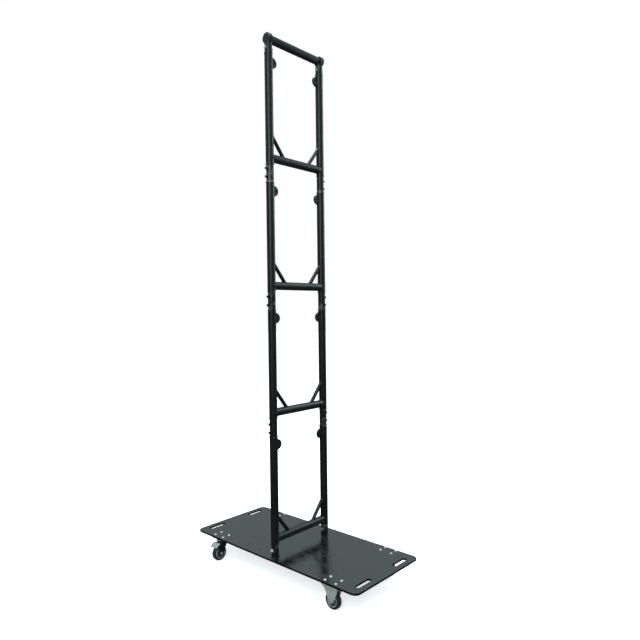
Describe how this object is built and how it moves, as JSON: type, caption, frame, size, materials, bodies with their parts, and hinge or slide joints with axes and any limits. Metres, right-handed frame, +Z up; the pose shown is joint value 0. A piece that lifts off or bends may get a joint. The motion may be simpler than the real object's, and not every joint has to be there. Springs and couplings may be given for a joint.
{
  "type": "truss dolly",
  "caption": "Flat steel plate on swivel and fixed casters carrying an upright ladder of pinned tube frames with a round top bar, for hanging and moving stage lights.",
  "frame": {"origin": "on the floor under the middle of the base plate", "axes": "+X runs across the ladder, +Y along the plate towards the swivel casters, +Z up"},
  "size_m": [0.676, 1.41, 3.3739],
  "materials": {
    "plate_paint": "dark grey satin paint on steel plate",
    "tube_paint": "dark blue-grey powder coat on aluminium tube",
    "cone_metal": "bare turned aluminium",
    "dark_steel": "blackened steel",
    "bright_steel": "bright zinc plate",
    "zinc": "zinc plated pressed steel",
    "black_steel": "black coated pressed steel",
    "axle_steel": "zinc plated steel",
    "wheel_plastic": "grey moulded wheel body",
    "tyre_rubber": "black rubber tread"
  },
  "bodies": {
    "dolly": {"base_plate": "plate_paint", "upright_left_1": "tube_paint", "upright_left_2": "tube_paint", "upright_left_3": "tube_paint", "upright_left_4": "tube_paint", "upright_right_1": "tube_paint", "upright_right_2": "tube_paint", "upright_right_3": "tube_paint", "upright_right_4": "tube_paint", "cross_bar_1": "tube_paint", "cross_bar_2": "tube_paint", "cross_bar_3": "tube_paint", "cross_bar_4": "tube_paint", "top_bar": "tube_paint", "top_fitting_left": "tube_paint", "top_fitting_right": "tube_paint", "coupler_left_1": "cone_metal", "coupler_left_2": "cone_metal", "coupler_left_3": "cone_metal", "coupler_right_1": "cone_metal", "coupler_right_2": "cone_metal", "coupler_right_3": "cone_metal", "base_coupler_left": "cone_metal", "base_coupler_right": "cone_metal", "base_bolt_left": "bright_steel", "base_bolt_right": "bright_steel", "top_bolt_left": "bright_steel", "top_bolt_right": "bright_steel", "fixed_fork_left": "zinc", "swivel_mount_left": "black_steel", "fixed_axle_left": "axle_steel", "fixed_fork_right": "zinc", "swivel_mount_right": "black_steel", "fixed_axle_right": "axle_steel"},
    "swivel_left": {"swivel_fork_left": "black_steel", "swivel_axle_left": "axle_steel"},
    "swivel_wheel_left": {"swivel_wheel_left": "wheel_plastic", "swivel_tyre_left": "tyre_rubber"},
    "fixed_wheel_left": {"fixed_wheel_left": "wheel_plastic", "fixed_tyre_left": "tyre_rubber"},
    "brake_left": {"brake_pedal_left": "zinc"},
    "swivel_right": {"swivel_fork_right": "black_steel", "swivel_axle_right": "axle_steel"},
    "swivel_wheel_right": {"swivel_wheel_right": "wheel_plastic", "swivel_tyre_right": "tyre_rubber"},
    "fixed_wheel_right": {"fixed_wheel_right": "wheel_plastic", "fixed_tyre_right": "tyre_rubber"},
    "brake_right": {"brake_pedal_right": "zinc"},
    "lock_pin_left_1_lower": {"lock_pin_left_1_lower": "dark_steel"},
    "lock_pin_left_1_upper": {"lock_pin_left_1_upper": "dark_steel"},
    "lock_pin_left_2_lower": {"lock_pin_left_2_lower": "dark_steel"},
    "lock_pin_left_2_upper": {"lock_pin_left_2_upper": "dark_steel"},
    "lock_pin_left_3_lower": {"lock_pin_left_3_lower": "dark_steel"},
    "lock_pin_left_3_upper": {"lock_pin_left_3_upper": "dark_steel"},
    "lock_pin_right_1_lower": {"lock_pin_right_1_lower": "dark_steel"},
    "lock_pin_right_1_upper": {"lock_pin_right_1_upper": "dark_steel"},
    "lock_pin_right_2_lower": {"lock_pin_right_2_lower": "dark_steel"},
    "lock_pin_right_2_upper": {"lock_pin_right_2_upper": "dark_steel"},
    "lock_pin_right_3_lower": {"lock_pin_right_3_lower": "dark_steel"},
    "lock_pin_right_3_upper": {"lock_pin_right_3_upper": "dark_steel"}
  },
  "joints": [
    {"name": "swivel_turn_left", "type": "hinge", "parent": "dolly", "child": "swivel_left", "pos_m": [-0.262, 0.488, 0.1193], "axis": [0, 0, 1], "continuous": true},
    {"name": "swivel_wheel_spin_left", "type": "hinge", "parent": "swivel_left", "child": "swivel_wheel_left", "pos_m": [-0.288, 0.488, 0.05], "axis": [0, 1, 0], "continuous": true},
    {"name": "brake_press_left", "type": "hinge", "parent": "swivel_left", "child": "brake_left", "pos_m": [-0.288, 0.488, 0.1118], "axis": [0, -1, 0], "range_deg": [0, 19]},
    {"name": "fixed_wheel_spin_left", "type": "hinge", "parent": "dolly", "child": "fixed_wheel_left", "pos_m": [-0.262, -0.507, 0.05], "axis": [1, 0, 0], "continuous": true},
    {"name": "swivel_turn_right", "type": "hinge", "parent": "dolly", "child": "swivel_right", "pos_m": [0.262, 0.488, 0.1193], "axis": [0, 0, 1], "continuous": true},
    {"name": "swivel_wheel_spin_right", "type": "hinge", "parent": "swivel_right", "child": "swivel_wheel_right", "pos_m": [0.288, 0.488, 0.05], "axis": [0, 1, 0], "continuous": true},
    {"name": "brake_press_right", "type": "hinge", "parent": "swivel_right", "child": "brake_right", "pos_m": [0.288, 0.488, 0.1118], "axis": [0, 1, 0], "range_deg": [0, 19]},
    {"name": "fixed_wheel_spin_right", "type": "hinge", "parent": "dolly", "child": "fixed_wheel_right", "pos_m": [0.262, -0.507, 0.05], "axis": [1, 0, 0], "continuous": true},
    {"name": "lock_pin_left_1_lower_pull", "type": "slide", "parent": "dolly", "child": "lock_pin_left_1_lower", "axis": [-1, 0, 0], "range_m": [0, 0.056]},
    {"name": "lock_pin_left_1_upper_pull", "type": "slide", "parent": "dolly", "child": "lock_pin_left_1_upper", "axis": [-1, 0, 0], "range_m": [0, 0.056]},
    {"name": "lock_pin_left_2_lower_pull", "type": "slide", "parent": "dolly", "child": "lock_pin_left_2_lower", "axis": [-1, 0, 0], "range_m": [0, 0.056]},
    {"name": "lock_pin_left_2_upper_pull", "type": "slide", "parent": "dolly", "child": "lock_pin_left_2_upper", "axis": [-1, 0, 0], "range_m": [0, 0.056]},
    {"name": "lock_pin_left_3_lower_pull", "type": "slide", "parent": "dolly", "child": "lock_pin_left_3_lower", "axis": [-1, 0, 0], "range_m": [0, 0.056]},
    {"name": "lock_pin_left_3_upper_pull", "type": "slide", "parent": "dolly", "child": "lock_pin_left_3_upper", "axis": [-1, 0, 0], "range_m": [0, 0.056]},
    {"name": "lock_pin_right_1_lower_pull", "type": "slide", "parent": "dolly", "child": "lock_pin_right_1_lower", "axis": [1, 0, 0], "range_m": [0, 0.056]},
    {"name": "lock_pin_right_1_upper_pull", "type": "slide", "parent": "dolly", "child": "lock_pin_right_1_upper", "axis": [1, 0, 0], "range_m": [0, 0.056]},
    {"name": "lock_pin_right_2_lower_pull", "type": "slide", "parent": "dolly", "child": "lock_pin_right_2_lower", "axis": [1, 0, 0], "range_m": [0, 0.056]},
    {"name": "lock_pin_right_2_upper_pull", "type": "slide", "parent": "dolly", "child": "lock_pin_right_2_upper", "axis": [1, 0, 0], "range_m": [0, 0.056]},
    {"name": "lock_pin_right_3_lower_pull", "type": "slide", "parent": "dolly", "child": "lock_pin_right_3_lower", "axis": [1, 0, 0], "range_m": [0, 0.056]},
    {"name": "lock_pin_right_3_upper_pull", "type": "slide", "parent": "dolly", "child": "lock_pin_right_3_upper", "axis": [1, 0, 0], "range_m": [0, 0.056]}
  ]
}
